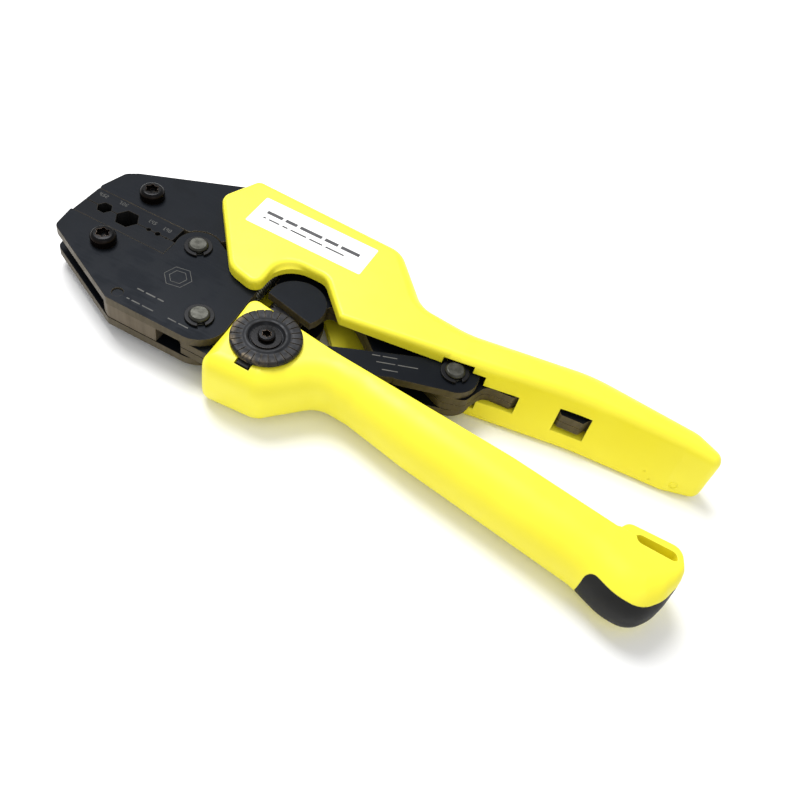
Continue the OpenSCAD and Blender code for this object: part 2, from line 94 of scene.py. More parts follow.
END_CAP_REGION = [
    (153.6, -52, 0.3), (186, -52, 0.3), (186, -33, 0.3), (174.4, -33, 0.3), (172.4, -38, 5), (167, -41.6, 4),
    (159, -38.8, 4), (153.6, -38.8, 2),
]
HANG_SLOT = [(162, -29.4, 2.2), (175.2, -29.9, 2.2), (175.2, -24.9, 2.2), (162, -24.8, 2.2)]
LOW_LUG = [
    (150, -18, 0), (156.7, -27.2, 0), (162.4, -27.9, 0), (175, -28.4, 0), (179, -31.2, 0), (186, -31.2, 0),
    (186, -18, 0),
]
LUG_TOP = 18.4 * MM


# ---------- outlines ----------

def corner_arc(before, here, after, radius, steps):
    """Points of the arc that replaces a corner."""
    if radius == 0:
        return [here]
    to_before = (before - here).normalized()
    to_after = (after - here).normalized()
    half = math.acos(max(-1.0, min(1.0, to_before.dot(to_after)))) / 2
    if abs(half - math.pi / 2) < 1e-4:
        return [here] * (steps + 1)
    centre = here + (to_before + to_after).normalized() * radius / math.sin(half)
    first = here + to_before * radius / math.tan(half) - centre
    last = here + to_after * radius / math.tan(half) - centre
    turn = math.atan2(first.cross(last), first.dot(last))
    return [centre + Matrix.Rotation(turn * i / steps, 2) @ first for i in range(steps + 1)]


def rim_inset(reach, depth):
    """How far the rim stands in at this depth below the face: an elliptical quarter round."""
    drop = min(max(reach, RIM_DROPS[0]), RIM_DROPS[1])
    if depth >= drop:
        return 0.0
    return reach * (1 - math.sqrt(1 - (1 - depth / drop) ** 2))


def crossing(a, b, c, d):
    """Point where the line through a and b meets the line through c and d."""
    u = b - a
    v = d - c
    bottom = u.cross(v)
    if abs(bottom) < 1e-9:
        return (b + c) / 2
    return a + u * ((c - a).cross(v) / bottom)


def outline(controls, depth=100.0, rise=0.0, steps=8):
    """Rounded outline in millimetres; each side is moved in by its rim at this depth and by its lean.

    A side that would turn round shrinks to a point where its neighbours meet.
    """
    count = len(controls)
    corners = [Vector(c[:2]) for c in controls]
    insets = [rim_inset(c[3], depth) if len(c) > 3 else 0.0 for c in controls]
    insets = [inset + (c[4] * rise if len(c) > 4 else 0.0) for inset, c in zip(insets, controls)]
    sides = []
    for i in range(count):
        a = corners[i]
        b = corners[(i + 1) % count]
        inward = Vector((a.y - b.y, b.x - a.x)).normalized()
        sides.append((a + inward * insets[i], b + inward * insets[(i + 1) % count]))
    moved = [crossing(*sides[i - 1], *sides[i]) for i in range(count)]
    for i in range(count):
        j = (i + 1) % count
        along = (corners[j] - corners[i]).normalized()
        if (moved[j] - moved[i]).dot(along) < 2 * SIDE_STUB:
            meet = crossing(*sides[i - 1], *sides[j])
            moved[i] = meet - along * SIDE_STUB
            moved[j] = meet + along * SIDE_STUB
    points = []
    for i in range(count):
        radius = controls[i][2]
        here, before, after = moved[i], moved[i - 1], moved[(i + 1) % count]
        if insets[i]:
            turn = (corners[i] - corners[i - 1]).cross(corners[(i + 1) % count] - corners[i])
            radius = max(radius - math.copysign(insets[i], turn), SMALLEST_RADIUS)
            half = (before - here).angle(after - here) / 2
            room = min((before - here).length, (after - here).length) * SIDE_SHARE
            radius = min(radius, room * math.tan(half))
        points += corner_arc(before, here, after, radius, steps)
    return points


# ---------- meshes ----------

def new_object(name, bm):
    mesh = bpy.data.meshes.new(name)
    bm.normal_update()
    bm.to_mesh(mesh)
    bm.free()
    obj = bpy.data.objects.new(name, mesh)
    bpy.context.scene.collection.objects.link(obj)
    return obj


def rings_to_object(name, rings):
    """Closed skin over rings of equal length, capped at both ends."""
    bm = bmesh.new()
    loops = [[bm.verts.new(p) for p in ring] for ring in rings]
    for low, high in zip(loops, loops[1:]):
        for i in range(len(low)):
            j = (i + 1) % len(low)
            bm.faces.new((low[i], low[j], high[j], high[i]))
    bm.faces.new(list(reversed(loops[0])))
    bm.faces.new(loops[-1])
    bmesh.ops.remove_doubles(bm, verts=bm.verts, dist=0.002 * MM)
    bmesh.ops.recalc_face_normals(bm, faces=bm.faces)
    return new_object(name, bm)


def at(point, z):
    """Row-frame position of a plan point in millimetres."""
    return Vector((PIVOT.x + point.x * MM, PIVOT.y + point.y * MM, z))


def prism(name, controls, low, high):
    points = outline(controls)
    return rings_to_object(name, [[at(p, z) for p in points] for z in (low, high)])


def cushion(name, controls, low, high, soft):
    """Prism whose top and bottom edges are rounded by the radius soft, in millimetres."""
    steps = 6
    rings = []
    for k in range(2 * steps + 2):
        turn = math.pi / 2 * (min(k, steps) + max(k - steps - 1, 0)) / steps
        rim = soft * (1 - math.sin(turn if k <= steps else math.pi - turn))
        middle = low + soft * MM if k <= steps else high - soft * MM
        z = middle - math.cos(turn) * soft * MM
        rings.append([at(p, z) for p in outline([(*c[:3], 0, rim) for c in controls], 100, 1.0)])
    return rings_to_object(name, rings)


def block(name, x0, y0, x1, y1, low, high):
    return prism(name, [(x0, y0, 0), (x1, y0, 0), (x1, y1, 0), (x0, y1, 0)], low, high)


def moulded_grip(name, controls):
    """Grip body: flat top and bottom faces, rims that roll over to the full outline, and leaning walls."""
    steps = 12
    deepest = HALF_GRIP / MM
    rings = []
    for i in range(2 * steps + 1):
        rise = -math.cos(math.pi / 2 * i / steps)
        ring = outline(controls, deepest * (1 - abs(rise)), rise / 2)
        rings.append([at(p, MID_Z + deepest * rise * MM) for p in ring])
    return rings_to_object(name, rings)


def carve(target, cutter, operation="DIFFERENCE"):
    """Applies an exact boolean and removes the cutter."""
    boolean = target.modifiers.new("carve", "BOOLEAN")
    boolean.object = cutter
    boolean.operation = operation
    boolean.solver = "EXACT"
    apply_modifiers(target)
    bpy.data.objects.remove(cutter)
    return target


def apply_modifiers(obj):
    bpy.context.view_layer.update()
    shown = obj.evaluated_get(bpy.context.evaluated_depsgraph_get())
    mesh = bpy.data.meshes.new_from_object(shown)
    obj.modifiers.clear()
    obj.data = mesh


def smooth(obj, degrees=32):
    for face in obj.data.polygons:
        face.use_smooth = True
    obj.data.set_sharp_from_angle(angle=math.radians(degrees))
    weighted = obj.modifiers.new("weighted", "WEIGHTED_NORMAL")
    weighted.keep_sharp = True


def dress(obj, material, body, slot, *replaced):
    """Gives a finished piece its material and its body, and hides the CAD nodes that it stands for."""
    obj.data.materials.clear()
    obj.data.materials.append(material)
    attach(obj, body)
    if replaced:
        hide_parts(*replaced)


# ---------- materials ----------

class Shader:
    """A Principled material with short helpers for its procedural nodes."""

    def __init__(self, name):
        self.material = bpy.data.materials.new(name)
        self.material.use_nodes = True
        self.tree = self.material.node_tree
        self.surface = self.tree.nodes["Principled BSDF"]
        self.place = self.tree.nodes.new("ShaderNodeTexCoord").outputs["Object"]

    def link(self, value, socket):
        self.tree.links.new(value, socket)

    def set(self, **values):
        for key, value in values.items():
            self.surface.inputs[key.replace("_", " ")].default_value = value

    def noise(self, per_metre, detail=4, stretch=(1, 1, 1)):
        spread = self.tree.nodes.new("ShaderNodeMapping")
        spread.inputs["Scale"].default_value = stretch
        self.link(self.place, spread.inputs["Vector"])
        node = self.tree.nodes.new("ShaderNodeTexNoise")
        node.inputs["Scale"].default_value = per_metre
        node.inputs["Detail"].default_value = detail
        self.link(spread.outputs[0], node.inputs["Vector"])
        return node.outputs["Fac"]

    def ramp(self, value, low, high, start=0.0, end=1.0):
        """Smooth remap of value between low and high."""
        node = self.tree.nodes.new("ShaderNodeMapRange")
        node.interpolation_type = "SMOOTHSTEP"
        self.link(value, node.inputs["Value"])
        for key, number in zip(("From Min", "From Max", "To Min", "To Max"), (low, high, start, end)):
            node.inputs[key].default_value = number
        return node.outputs["Result"]

    def math(self, operation, a, b=None):
        node = self.tree.nodes.new("ShaderNodeMath")
        node.operation = operation
        for socket, value in zip(node.inputs, (a, b)):
            if isinstance(value, (int, float)):
                socket.default_value = value
            elif value is not None:
                self.link(value, socket)
        return node.outputs[0]

    def mix(self, factor, a, b):
        node = self.tree.nodes.new("ShaderNodeMix")
        node.data_type = "RGBA"
        self.link(factor, node.inputs["Factor"])
        for socket, value in zip((node.inputs[6], node.inputs[7]), (a, b)):
            if isinstance(value, tuple):
                socket.default_value = (*value, 1)
            else:
                self.link(value, socket)
        return node.outputs[2]

    def edges(self, radius, low=0.02, high=0.12):
        """Mask of convex and concave edges, from a rounded normal against the true one."""
        bevel = self.tree.nodes.new("ShaderNodeBevel")
        bevel.samples = 6
        bevel.inputs["Radius"].default_value = radius
        true = self.tree.nodes.new("ShaderNodeNewGeometry")
        dot = self.tree.nodes.new("ShaderNodeVectorMath")
        dot.operation = "DOT_PRODUCT"
        self.link(bevel.outputs[0], dot.inputs[0])
        self.link(true.outputs["Normal"], dot.inputs[1])
        return self.ramp(self.math("SUBTRACT", 1.0, dot.outputs["Value"]), low, high)

    def sides(self):
        """1 on walls, 0 on faces that look up or down."""
        true = self.tree.nodes.new("ShaderNodeNewGeometry")
        parts = self.tree.nodes.new("ShaderNodeSeparateXYZ")
        self.link(true.outputs["True Normal"], parts.inputs[0])
        return self.ramp(self.math("ABSOLUTE", parts.outputs["Z"]), 0.75, 0.5)

    def bump(self, height, strength, distance, round_edges=0.0):
        node = self.tree.nodes.new("ShaderNodeBump")
        node.inputs["Strength"].default_value = strength
        node.inputs["Distance"].default_value = distance
        self.link(height, node.inputs["Height"])
        if round_edges:
            bevel = self.tree.nodes.new("ShaderNodeBevel")
            bevel.samples = 6
            bevel.inputs["Radius"].default_value = round_edges
            self.link(bevel.outputs[0], node.inputs["Normal"])
        self.link(node.outputs[0], self.surface.inputs["Normal"])

    def colour(self, value):
        self.link(value, self.surface.inputs["Base Color"])

    def rough(self, value):
        self.link(value, self.surface.inputs["Roughness"])


def moulded_plastic(name, base, shade, rub, gloss, shine=0.5):
    """Satin moulded plastic: soft clouding, rubbed edges and a fine spark-eroded grain."""
    s = Shader(name)
    cloud = s.ramp(s.noise(38, 3), 0.3, 0.7)
    tone = s.mix(cloud, base, shade)
    s.colour(s.mix(s.math("MULTIPLY", s.edges(0.7 * MM), 0.35), tone, rub))
    grain = s.noise(2600, 2)
    s.rough(s.ramp(s.noise(160, 5), 0.25, 0.75, gloss - 0.05, gloss + 0.07))
    s.set(IOR=1.48, Specular_IOR_Level=shine)
    s.bump(grain, 0.12, 0.05 * MM, 0.35 * MM)
    return s.material


def blackened_steel(name, face, wall, worn, rough=0.42, wear=0.8, metal=0.3):
    """Blackened plate: blue-black faces, bronze sheared walls, bright worn edges and fine scratches."""
    s = Shader(name)
    cloud = s.ramp(s.noise(90, 6), 0.3, 0.7)
    lighter = tuple(c * 1.35 for c in face)
    walls = s.mix(s.noise(700, 4, (1, 1, 0.12)), wall, tuple(c * 0.55 for c in wall))
    flat = s.mix(cloud, face, lighter)
    body = s.mix(s.sides(), flat, walls)
    patchy = s.math("MULTIPLY", s.edges(0.28 * MM), s.ramp(s.noise(240, 5), 0.3, 0.6, 0.25, wear))
    s.colour(s.mix(patchy, body, worn))
    scratch = s.noise(900, 6, (0.12, 1.4, 1))
    s.rough(s.ramp(s.math("MULTIPLY", scratch, cloud), 0.1, 0.5, rough - 0.06, rough + 0.1))
    s.set(Metallic=metal, Specular_IOR_Level=0.06)
    s.bump(s.math("ADD", scratch, s.noise(2400, 2)), 0.1, 0.03 * MM)
    return s.material


def turned_steel(name, base, dark, rough=0.32):
    """Pin and wire steel: greyish, mottled with oil and oxide."""
    s = Shader(name)
    stain = s.ramp(s.noise(420, 6), 0.35, 0.65)
    tone = s.mix(stain, base, dark)
    bright = tuple(min(1, c * 1.9) for c in base)
    s.colour(s.mix(s.math("MULTIPLY", s.edges(0.3 * MM), 0.7), tone, bright))
    s.rough(s.ramp(s.noise(900, 4), 0.3, 0.7, rough, rough + 0.16))
    s.set(Metallic=0.85)
    s.bump(s.noise(3000, 3), 0.15, 0.03 * MM)
    return s.material


def wheel_black(name):
    """Black sintered wheel, worn brown on its rim and on the tops of its ribs."""
    s = Shader(name)
    offset = s.tree.nodes.new("ShaderNodeVectorMath")
    offset.operation = "SUBTRACT"
    offset.inputs[1].default_value = AXLE
    s.link(s.place, offset.inputs[0])
    parts = s.tree.nodes.new("ShaderNodeSeparateXYZ")
    s.link(offset.outputs[0], parts.inputs[0])
    squares = [s.math("POWER", s.math("ABSOLUTE", parts.outputs[k]), 2.0) for k in ("X", "Y")]
    radius = s.math("SQRT", s.math("ADD", *squares))
    rim = s.ramp(radius, 8.6 * MM, 10.9 * MM)
    lower_left = s.ramp(s.math("ADD", parts.outputs["X"], parts.outputs["Y"]), -2 * MM, -11 * MM, 0.12, 1)
    blotch = s.ramp(s.noise(330, 6), 0.42, 0.6)
    worn = s.math("MULTIPLY", s.math("MULTIPLY", rim, lower_left), blotch)
    edge = s.math("MULTIPLY", s.edges(0.3 * MM), 0.35)
    tone = s.mix(s.ramp(s.noise(500, 5), 0.3, 0.7), (0.006, 0.0065, 0.008), (0.013, 0.014, 0.017))
    s.colour(s.mix(s.math("MAXIMUM", worn, edge), tone, (0.13, 0.1, 0.06)))
    s.rough(s.ramp(s.noise(700, 4), 0.3, 0.7, 0.4, 0.6))
    s.set(Metallic=0.4, Specular_IOR_Level=0.3)
    s.bump(s.noise(1800, 4), 0.25, 0.06 * MM)
    return s.material


def paper(name, base, shade, rough):
    """Printed vinyl: faint mottling and a light orange-peel surface."""
    s = Shader(name)
    s.colour(s.mix(s.ramp(s.noise(240, 4), 0.3, 0.7), base, shade))
    s.rough(s.ramp(s.noise(500, 3), 0.3, 0.7, rough, rough + 0.15))
    s.bump(s.noise(1500, 2), 0.08, 0.02 * MM)
    return s.material


PLATE_FACE = (0.005, 0.0062, 0.0085)
PLATE_WALL = (0.115, 0.095, 0.062)
CLIP_BLACK = (0.012, 0.012, 0.013)

YELLOW = moulded_plastic(
    "yellow_moulding", (0.89, 0.81, 0.035), (0.86, 0.77, 0.028), (0.9, 0.85, 0.07), 0.42)
BLACK_PLASTIC = moulded_plastic(
    "black_moulding", (0.011, 0.011, 0.0105), (0.016, 0.016, 0.015), (0.04, 0.04, 0.04), 0.5, 0.16)
PLATE = blackened_steel("blackened_plate", PLATE_FACE, PLATE_WALL, (0.26, 0.2, 0.11))
JAW_PLATE = blackened_steel("jaw_plate", PLATE_FACE, PLATE_WALL, (0.16, 0.13, 0.08), wear=0.35)
DIE = blackened_steel(
    "blackened_die", (0.005, 0.006, 0.008), (0.02, 0.02, 0.02), (0.14, 0.11, 0.07), wear=0.4)
WORN = blackened_steel("worn_steel", (0.03, 0.03, 0.034), (0.16, 0.13, 0.09), (0.36, 0.28, 0.17), wear=1.0)
CLIP = blackened_steel("clip_steel", CLIP_BLACK, CLIP_BLACK, (0.12, 0.1, 0.07), 0.35)
SCREW = blackened_steel(
    "screw_black", (0.009, 0.009, 0.0095), (0.016, 0.012, 0.01), (0.13, 0.09, 0.06), 0.24, metal=0.8)
PIN = turned_steel("pin_steel", (0.06, 0.06, 0.052), (0.03, 0.03, 0.025), 0.34)
WIRE = turned_steel("spring_wire", (0.22, 0.22, 0.21), (0.1, 0.1, 0.1), 0.28)
WHEEL = wheel_black("wheel_black")
LABEL = paper("label_white", (0.9, 0.9, 0.88), (0.84, 0.84, 0.82), 0.3)
PRINT = paper("label_grey", (0.03, 0.03, 0.035), (0.05, 0.05, 0.055), 0.5)
ETCH = paper("etched_grey", (0.09, 0.088, 0.08), (0.055, 0.055, 0.05), 0.6)

SLOT_MATERIALS = {
    "black_oxide": PLATE, "die_steel": DIE, "worn_steel": WORN, "clip_steel": CLIP,
    "screw_black": SCREW, "pin_steel": PIN, "spring_steel": WIRE, "yellow_plastic": YELLOW,
    "black_plastic": BLACK_PLASTIC, "wheel_black": WHEEL, "label_vinyl": LABEL,
}


def finish_cad_nodes():
    """Welds and chamfers the steel nodes' edges and gives each node its material."""
    slots = {part["node"]: part["material_slot"] for part in frame["record"]["subparts"]}
    for name, obj in NODES.items():
        obj.data.materials.clear()
        lower_jaw = name.startswith("lower_jaw_plate")
        obj.data.materials.append(JAW_PLATE if lower_jaw else SLOT_MATERIALS[slots[name]])
        obj.modifiers.new("weld", "WELD").merge_threshold = WELD_GAP
        flat = obj.modifiers.new("flat_faces", "DECIMATE")
        flat.decimate_type = "DISSOLVE"
        flat.angle_limit = math.radians(1)
        chamfer = obj.modifiers.new("chamfer", "BEVEL")
        chamfer.width = EDGE_CHAMFER
        chamfer.segments = 2
        chamfer.limit_method = "ANGLE"
        chamfer.angle_limit = math.radians(40)
        chamfer.use_clamp_overlap = True
        weighted = obj.modifiers.new("weighted", "WEIGHTED_NORMAL")
        weighted.keep_sharp = True
        for face in obj.data.polygons:
            face.use_smooth = True


# ---------- grips ----------

def fixed_grip():
    grip = moulded_grip("fixed_grip_moulding", FIXED_GRIP)
    deep = [
        (-14, -14, 0), (103.4, -14, 0), (103.4, 15.4, 2), (69, 15.4, 8), (50.5, 34.6, 8), (10, 36.4, 4),
        (-14, 36.4, 0),
    ]
    shallow = [
        (100, -6, 0), (115.4, -6, 0), (115.4, 5.9, 0), (137, 10, 20), (158, 11.7, 6), (172, 13.4, 1.5),
        (166.6, 19, 3), (134, 21, 20), (100, 15.4, 0),
    ]
    carve(grip, prism("pocket", deep, MID_Z - POCKET_HALF, MID_Z + POCKET_HALF))
    carve(grip, prism("tail_pocket", shallow, MID_Z - TAIL_POCKET_HALF, MID_Z + TAIL_POCKET_HALF))
    carve(grip, block("window", 128.4, -2, 138.9, 14, MID_Z - WINDOW_HALF, MID_Z + WINDOW_HALF))
    carve(grip, block("pin_relief", 88.8, -14, 99, 6.4, MID_Z - PIN_RELIEF_HALF, MID_Z + PIN_RELIEF_HALF))
    smooth(grip)
    dress(grip, YELLOW, "frame", "yellow_plastic", "fixed_grip")


def moving_grip():
    grip = moulded_grip("moving_grip_moulding", MOVING_GRIP)
    deep = [
        (31, -38.6, 3), (46.6, -38.6, 6), (60, -25.6, 6), (74, -26.6, 10), (92, -30, 2), (92, -6, 0),
        (31, -6, 0),
    ]
    tail = [(90, -29, 0), (118, -31, 3), (119, -23.6, 3), (90, -20.7, 0)]
    carve(grip, prism("pocket", deep, MID_Z - POCKET_HALF, MID_Z + POCKET_HALF))
    carve(grip, prism("tail_pocket", tail, MID_Z - TAIL_POCKET_HALF, MID_Z + TAIL_POCKET_HALF))
    mouth = block("mouth", 24, -36.4, 32, -6.4, MID_Z - TAIL_POCKET_HALF, MID_Z + TAIL_POCKET_HALF)
    carve(grip, mouth)
    carve(grip, prism("hang_slot", HANG_SLOT, -MM, GRIP_TOP + MM))
    carve(grip, prism("low_lug", LOW_LUG, LUG_TOP, GRIP_TOP + MM))
    low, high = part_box("wheel_lock_block")
    left, front = (low.x - PIVOT.x) / MM - SEAT_GAP, (low.y - PIVOT.y) / MM - SEAT_GAP
    right, back = (high.x - PIVOT.x) / MM + SEAT_GAP, (high.y - PIVOT.y) / MM + SEAT_GAP_INNER
    carve(grip, block("lock_seat", left, front, right, back, low.z, GRIP_TOP + MM))
    carve(grip, round_bar("axle_bore", AXLE, AXLE_BORE, -MM, GRIP_TOP + MM))
    carve(grip, round_bar("axle_flange", AXLE, FLANGE_BORE, -MM, FLANGE_DEPTH))
    cap_low, cap_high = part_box("grip_end_cap")
    cap = grip.copy()
    cap.data = grip.data.copy()
    cap.name = "grip_end_cap_moulding"
    bpy.context.scene.collection.objects.link(cap)
    carve(grip, cushion("cap_seat", END_CAP_REGION, cap_low.z, cap_high.z, CAP_EDGE_ROUND))
    carve(cap, cushion("cap_body", END_CAP_REGION, cap_low.z, cap_high.z, CAP_EDGE_ROUND), "INTERSECT")
    smooth(grip)
    smooth(cap)
    dress(grip, YELLOW, "moving_handle", "yellow_plastic", "moving_grip")
    dress(cap, BLACK_PLASTIC, "moving_handle", "black_plastic", "grip_end_cap")


def round_bar(name, centre, radius, low, high, count=64):
    angles = [2 * math.pi * i / count for i in range(count)]
    ring = [Vector((math.cos(a), math.sin(a))) * radius for a in angles]
    rings = [[Vector((centre.x + p.x, centre.y + p.y, z)) for p in ring] for z in (low, high)]
    return rings_to_object(name, rings)


# ---------- adjuster wheel ----------

def adjuster_wheel(ribs=26):
    """Dished wheel with a bead round its dish and slits across its rim."""
    low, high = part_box("adjuster_wheel")
    height = (high.z - low.z) / MM
    bore = 1.53
    rim = (high.x - low.x) / 2 / MM
    slit_from = 7.6
    slit_depth = 0.26
    rim_notch = 0.12
    profile = [
        (bore, 0), (bore, 1.0), (4.9, 1.0), (5.2, 1.15), (5.7, height - 0.15), (6.1, height),
        (6.6, height - 0.04), (7.0, height - 0.32), (7.3, height - 0.38), (8.0, height - 0.34),
        (8.4, height - 0.3),
        (rim - 0.9, height - 0.3), (rim - 0.35, height - 0.42), (rim - 0.05, height - 0.8),
        (rim, height - 1.1),
        (rim, 0.35), (rim - 0.3, 0),
    ]
    across = [(-0.5, 0), (-0.25, 0), (-0.09, 0), (-0.045, 1), (0.045, 1), (0.09, 0), (0.25, 0)]
    bm = bmesh.new()
    rows = []
    for rib in range(ribs):
        for share, depth in across:
            angle = 2 * math.pi * (rib + share) / ribs
            row = []
            for r, z in profile:
                cut = depth if r > slit_from and z > 0.5 else 0
                reach = r - rim_notch * cut * (r > rim - 0.5)
                drop = z - slit_depth * cut * (z > 1.0)
                turned = Vector((math.cos(angle), math.sin(angle))) * reach * MM
                row.append(bm.verts.new((AXLE.x + turned.x, AXLE.y + turned.y, low.z + drop * MM)))
            rows.append(row)
    for a, b in zip(rows, rows[1:] + rows[:1]):
        for k in range(len(profile)):
            n = (k + 1) % len(profile)
            bm.faces.new((a[k], a[n], b[n], b[k]))
    bmesh.ops.recalc_face_normals(bm, faces=bm.faces)
    wheel = new_object("ribbed_adjuster_wheel", bm)
    smooth(wheel, 40)
    dress(wheel, WHEEL, "adjuster", "wheel_black", "adjuster_wheel")


# ---------- springs ----------

def tube(name, path, radius, sides=10):
    """Round wire along a path."""
    bm = bmesh.new()
    loops = []
    up = Vector((0, 0, 1))
    for i, point in enumerate(path):
        ahead = (path[min(i + 1, len(path) - 1)] - path[max(i - 1, 0)]).normalized()
        side = ahead.cross(up)
        if side.length < 0.1:
            side = ahead.cross(Vector((1, 0, 0)))
        side.normalize()
        up = side.cross(ahead).normalized()
        loop = []
        for k in range(sides):
            a = 2 * math.pi * k / sides
            loop.append(bm.verts.new(point + (side * math.cos(a) + up * math.sin(a)) * radius))
        loops.append(loop)
    for a, b in zip(loops, loops[1:]):
        for k in range(sides):
            bm.faces.new((a[k], a[(k + 1) % sides], b[(k + 1) % sides], b[k]))
    bm.faces.new(loops[0])
    bm.faces.new(list(reversed(loops[-1])))
    bmesh.ops.recalc_face_normals(bm, faces=bm.faces)
    obj = new_object(name, bm)
    smooth(obj, 60)
    return obj


def helix(start, length, radius, turns, per_turn=18):
    """Points of a coil that runs along +Y."""
    count = int(turns * per_turn)
    points = []
    for i in range(count + 1):
        a = 2 * math.pi * i / per_turn
        lift = Vector((math.cos(a) * radius, length * i / count, math.sin(a) * radius))
        points.append(start + lift)
    return points


def hook(centre, radius, first, last, steps=20):
    """Arc of wire round a post, in the tool's plane."""
    arc = []
    for i in range(steps + 1):
        a = math.radians(first + (last - first) * i / steps)
        arc.append(centre + Vector((math.cos(a), math.sin(a), 0)) * radius)
    return arc


def centre_of(node):
    low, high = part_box(node)
    return (low + high) / 2


def opening_spring():
    """Coil between the two posts, with a ring of wire round each of them."""
    wire = 0.46 * MM
    coil = 1.88 * MM
    clear = 3.2 * MM
    turns = 26
    jaw_post = centre_of("jaw_spring_post")
    frame_post = centre_of("frame_spring_post")
    reach = 2.1 * MM
    start = Vector((frame_post.x - 0.5 * MM, jaw_post.y + clear, MID_Z))
    length = frame_post.y - clear - start.y
    path = hook(jaw_post, reach, -250, 70) + helix(start, length, coil, turns)
    path += hook(frame_post, reach, -70, 250)
    spring = tube("opening_spring_coil", path, wire)
    dress(spring, WIRE, "frame", "spring_steel", "opening_spring")


def pawl_spring():
    low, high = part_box("pawl_spring")
    wire = 0.32 * MM
    turns = 6
    start = Vector(((low.x + high.x) / 2, low.y + wire, MID_Z))
    coil = (high.x - low.x) / 2 - wire
    spring = tube("pawl_spring_coil", helix(start, high.y - low.y - 2 * wire, coil, turns), wire)
    dress(spring, WIRE, "pawl", "spring_steel", "pawl_spring")


# ---------- label and small marks ----------

def label():
    low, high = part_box("blank_label")
    x0, y0, x1, y1 = [(v - o) / MM for v, o in zip((*low.xy, *high.xy), (*PIVOT.xy, *PIVOT.xy))]
    corner = 0.6
    outer = [(x0, y0, corner), (x1, y0, corner), (x1, y1, corner), (x0, y1, corner)]
    sheet = prism("label_sticker", outer, low.z, high.z)
    smooth(sheet)
    dress(sheet, LABEL, "frame", "label_vinyl", "blank_label")


def strokes(name, bars, start, angle, face, material, body, slot):
    """Thin printed bars (x0, y0, x1, y1) laid on a face, turned by an angle about their start."""
    sunk, proud = 0.05 * MM, 0.02 * MM
    turn = Matrix.Rotation(math.radians(angle), 2)
    bm = bmesh.new()
    for x0, y0, x1, y1 in bars:
        rings = []
        for z in (face - sunk, face + proud):
            corners = [Vector((x0, y0)), Vector((x1, y0)), Vector((x1, y1)), Vector((x0, y1))]
            rings.append([bm.verts.new(at(Vector(start) + turn @ c, z)) for c in corners])
        low, high = rings
        bm.faces.new(high)
        bm.faces.new(list(reversed(low)))
        for k in range(4):
            n = (k + 1) % 4
            bm.faces.new((low[k], low[n], high[n], high[k]))
    dress(new_object(name, bm), material, body, slot)


def digits(text, height):
    """Bars of seven-segment figures."""
    lit = {
        "0": "abcdef", "1": "bc", "2": "abged", "4": "fgbc", "5": "afgcd", "6": "afgedc", "7": "abc",
        "9": "abcfg",
    }
    w, t, half = height * 0.52, height * 0.11, height / 2
    segment = {
        "a": (0, height - t, w, height), "b": (w - t, half, w, height), "c": (w - t, 0, w, half),
        "d": (0, 0, w, t), "e": (0, 0, t, half), "f": (0, half, t, height),
        "g": (0, half - t / 2, w, half + t / 2),
    }
    bars = []
    x = 0.0
    for mark in text:
        if mark == ".":
            bars.append((x - t, 0, x + 0.3 * t, 1.3 * t))
            x += 1.5 * t
            continue
        bars += [(x + a, b, x + c, d) for a, b, c, d in (segment[k] for k in lit[mark])]
        x += w * 1.4
    return bars


def dashes(lengths, height, gap):
    """Bars of a plain broken line."""
    bars = []
    x = 0.0
    for length in lengths:
        bars.append((x, 0, x + length, height))
        x += length + gap
    return bars


def hexagon(radius, thick, steps=14):
    """Bars round a hexagon, as short chords."""
    bars = []
    for k in range(6):
        a = Vector((math.cos(math.pi / 3 * k), math.sin(math.pi / 3 * k))) * radius
        b = Vector((math.cos(math.pi / 3 * (k + 1)), math.sin(math.pi / 3 * (k + 1)))) * radius
        for i in range(steps):
            c = a.lerp(b, (i + 0.5) / steps)
            bars.append((c.x - thick, c.y - thick, c.x + thick, c.y + thick))
    return bars


def printed_marks():
    """Nest sizes, and plain bars where a maker would mark the jaw, the link and the label."""
    def etched(name, bars, start, angle, body):
        strokes(name, bars, start, angle, HEAD_TOP, ETCH, body, "pin_steel")

    figure, word_gap, label_gap, link_turn, jaw_turn = 1.5, 0.8, 1.2, 22, 12
    sizes = (("4.52", (-40.6, 1.6)), ("7.06", (-33, 2)), ("1.45", (-20.4, 0.4)), ("1.90", (-14.5, 0.2)))
    for i, (text, start) in enumerate(sizes):
        etched(f"nest_size_{i + 1}", digits(text, figure), start, 0, "frame")
    etched("jaw_mark_hexagon", hexagon(4.6, 0.11) + hexagon(2.9, 0.09), (2.6, -15), jaw_turn, "lower_jaw")
    rows = (
        ((-4.4, -26.6), (2.4, 3.4, 2.2), 0.5), ((-4.6, -31.6), (1, 3, 4), 0.4),
        ((10.2, -31.4), (3, 3.4), 0.4),
    )
    for i, (start, lengths, height) in enumerate(rows):
        etched(f"jaw_mark_row_{i + 1}", dashes(lengths, height, word_gap), start, 0, "lower_jaw")
    rows = (((69, -8), (2.6, 4.6)), ((71.4, -9.8), (6, 6.4)), ((74.3, -11.6), (5,)))
    for i, (start, lengths) in enumerate(rows):
        etched(f"link_mark_row_{i + 1}", dashes(lengths, 0.35, word_gap), start, link_turn, "link")
    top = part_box("blank_label")[1].z
    rows = (((11.2, 23.6), (6, 4.4, 8.4, 5, 7), 1.5), ((11.4, 20.9), (1, 4, 2, 6, 5, 7), 0.7))
    for i, (start, lengths, height) in enumerate(rows):
        bars = dashes(lengths, height, label_gap)
        strokes(f"label_row_{i + 1}", bars, start, 0, top, PRINT, "frame", "label_vinyl")


